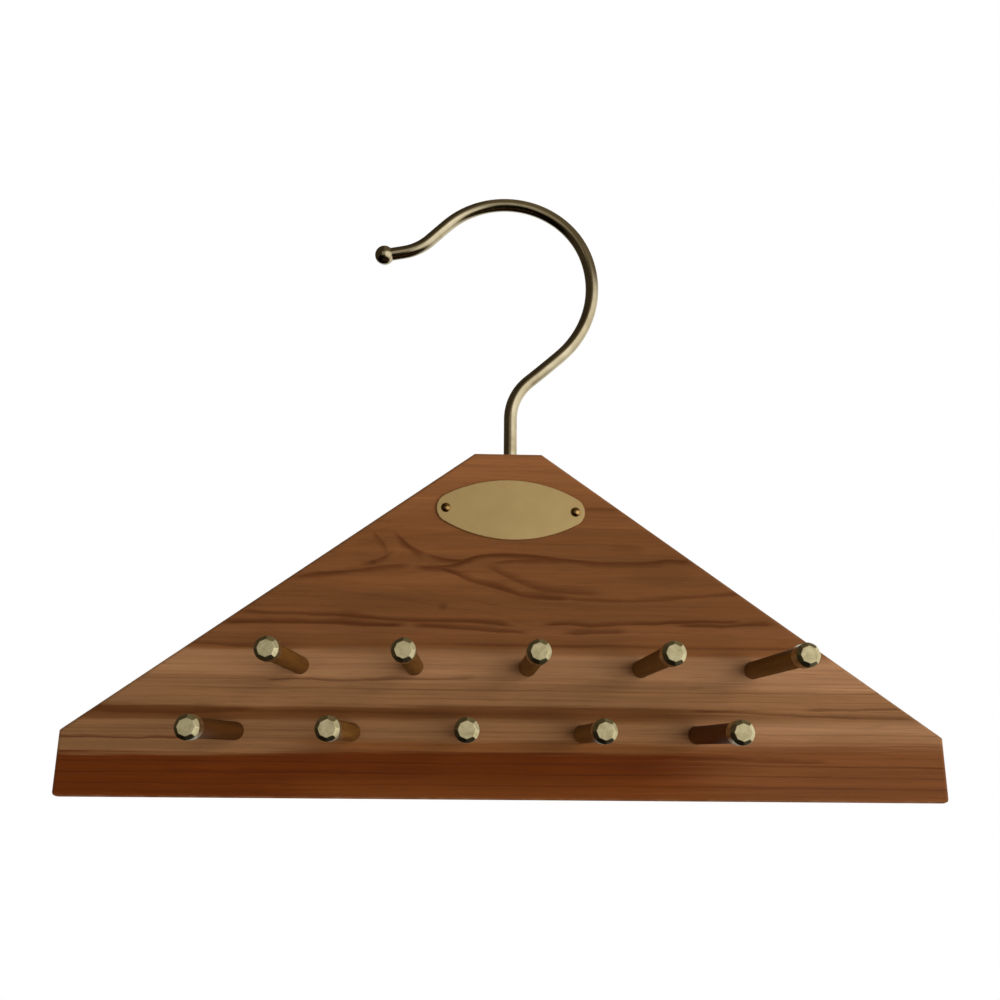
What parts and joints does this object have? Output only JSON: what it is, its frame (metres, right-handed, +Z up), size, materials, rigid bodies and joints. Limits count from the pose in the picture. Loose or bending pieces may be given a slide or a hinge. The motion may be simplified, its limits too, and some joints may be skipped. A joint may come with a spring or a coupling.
{
  "type": "tie hanger",
  "caption": "Cedar tie hanger: a gabled board with staggered rows of capped dowel pegs, a blank oval plate and a swivelling brass wire hook.",
  "frame": {"origin": "the rod's seat: the point on the underside of the hook's crown straight above its shank", "axes": "+Z up along the shank, +X along the board to the right as seen from the front, +Y to the back, so the pegs point towards -Y"},
  "size_m": [0.3, 0.075, 0.2311],
  "materials": {
    "cedar": "sanded red cedar heartwood, unvarnished",
    "dowel": "satin brown dowel",
    "hook_brass": "polished, lightly lacquered",
    "cap_brass": "bright pressed brass",
    "plate_brass": "satin, blank",
    "nail_brass": "domed, slightly dark",
    "sleeve_brass": "plain turned, barbed outside",
    "washer_steel": "plain zinc-plated"
  },
  "bodies": {
    "hook": {"hook_wire": "hook_brass", "hook_ball": "hook_brass", "thrust_washer": "washer_steel"},
    "peg_board": {"board": "cedar", "plate": "plate_brass", "plate_nail_left": "nail_brass", "plate_nail_right": "nail_brass", "swivel_sleeve": "sleeve_brass", "upper_peg_1": "dowel", "upper_peg_2": "dowel", "upper_peg_3": "dowel", "upper_peg_4": "dowel", "upper_peg_5": "dowel", "lower_peg_1": "dowel", "lower_peg_2": "dowel", "lower_peg_3": "dowel", "lower_peg_4": "dowel", "lower_peg_5": "dowel", "upper_cap_1": "cap_brass", "upper_cap_2": "cap_brass", "upper_cap_3": "cap_brass", "upper_cap_4": "cap_brass", "upper_cap_5": "cap_brass", "lower_cap_1": "cap_brass", "lower_cap_2": "cap_brass", "lower_cap_3": "cap_brass", "lower_cap_4": "cap_brass", "lower_cap_5": "cap_brass"}
  },
  "joints": [
    {"name": "hook_swivel", "type": "hinge", "parent": "hook", "child": "peg_board", "pos_m": [0, 0, -0.12696], "axis": [0, 0, 1], "continuous": true}
  ]
}
